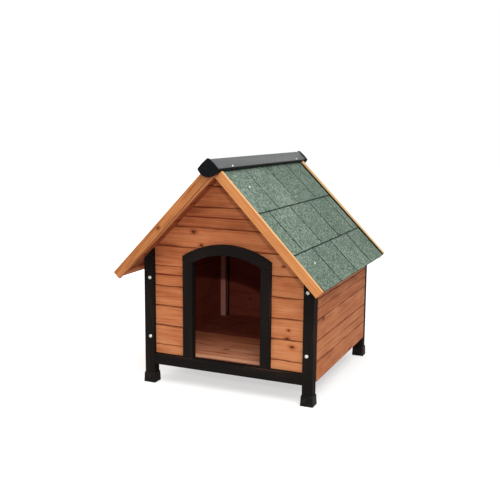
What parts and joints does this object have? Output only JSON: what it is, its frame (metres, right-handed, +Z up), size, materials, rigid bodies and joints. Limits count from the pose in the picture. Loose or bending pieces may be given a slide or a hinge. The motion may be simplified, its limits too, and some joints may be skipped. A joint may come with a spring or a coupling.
{
  "type": "dog house",
  "caption": "Raised wooden dog house with black corner posts, an arched doorway, a felted gable roof with a ridge cap and a lift-out board floor.",
  "frame": {"origin": "on the ground under the middle of the whole house, ridge cap included", "axes": "+Z up, +Y from the doorway towards the rear wall along the ridge, +X to the right of someone looking in through the doorway"},
  "size_m": [0.7276, 0.8, 0.7712],
  "materials": {
    "wall_fir": "orange-brown stained fir, planed and satin",
    "barge_fir": "lighter orange-brown stained fir, planed",
    "floor_fir": "stained fir, planed",
    "batten_fir": "stained fir battens, sawn square",
    "black_painted_timber": "black paint over square timber, satin",
    "foot_plastic": "moulded black plastic",
    "end_plate_plastic": "moulded black plastic",
    "ridge_cap_plastic": "dark grey extruded plastic, semi-gloss",
    "green_roof_felt": "bitumen felt with grey-green mineral granules",
    "zinc_bolt": "zinc-plated steel"
  },
  "bodies": {
    "house": {"door_arched_head": "black_painted_timber", "door_left_jamb": "black_painted_timber", "door_right_jamb": "black_painted_timber", "front_board_10": "wall_fir", "front_board_1_left": "wall_fir", "front_board_1_right": "wall_fir", "front_board_2_left": "wall_fir", "front_board_2_right": "wall_fir", "front_board_3_left": "wall_fir", "front_board_3_right": "wall_fir", "front_board_4_left": "wall_fir", "front_board_4_right": "wall_fir", "front_board_5_left": "wall_fir", "front_board_5_right": "wall_fir", "front_board_6_left": "wall_fir", "front_board_6_right": "wall_fir", "front_board_7": "wall_fir", "front_board_8": "wall_fir", "front_board_9": "wall_fir", "front_bottom_rail": "black_painted_timber", "front_left_barge_board": "barge_fir", "front_left_corner_batten": "batten_fir", "front_left_foot_cap": "foot_plastic", "front_left_lower_bolt": "zinc_bolt", "front_left_post": "black_painted_timber", "front_left_rafter": "batten_fir", "front_left_upper_bolt": "zinc_bolt", "front_ridge_end_plate": "end_plate_plastic", "front_right_barge_board": "barge_fir", "front_right_corner_batten": "batten_fir", "front_right_foot_cap": "foot_plastic", "front_right_lower_bolt": "zinc_bolt", "front_right_post": "black_painted_timber", "front_right_rafter": "batten_fir", "front_right_upper_bolt": "zinc_bolt", "left_floor_ledger": "batten_fir", "left_roof_boards": "wall_fir", "left_roof_felt": "green_roof_felt", "left_wall_boards": "wall_fir", "rear_bottom_rail": "black_painted_timber", "rear_left_barge_board": "barge_fir", "rear_left_corner_batten": "batten_fir", "rear_left_foot_cap": "foot_plastic", "rear_left_post": "black_painted_timber", "rear_left_rafter": "batten_fir", "rear_ridge_end_plate": "end_plate_plastic", "rear_right_barge_board": "barge_fir", "rear_right_corner_batten": "batten_fir", "rear_right_foot_cap": "foot_plastic", "rear_right_post": "black_painted_timber", "rear_right_rafter": "batten_fir", "rear_wall_boards": "wall_fir", "ridge_cap": "ridge_cap_plastic", "right_floor_ledger": "batten_fir", "right_roof_boards": "wall_fir", "right_roof_felt": "green_roof_felt", "right_wall_boards": "wall_fir"},
    "front_floor": {"front_floor_panel": "floor_fir"},
    "rear_floor": {"rear_floor_panel": "floor_fir"}
  },
  "joints": [
    {"name": "front_floor_lift", "type": "slide", "parent": "house", "child": "front_floor", "axis": [0, 0, 1], "range_m": [0, 0.3]},
    {"name": "rear_floor_lift", "type": "slide", "parent": "house", "child": "rear_floor", "axis": [0, 0, 1], "range_m": [0, 0.3]}
  ]
}
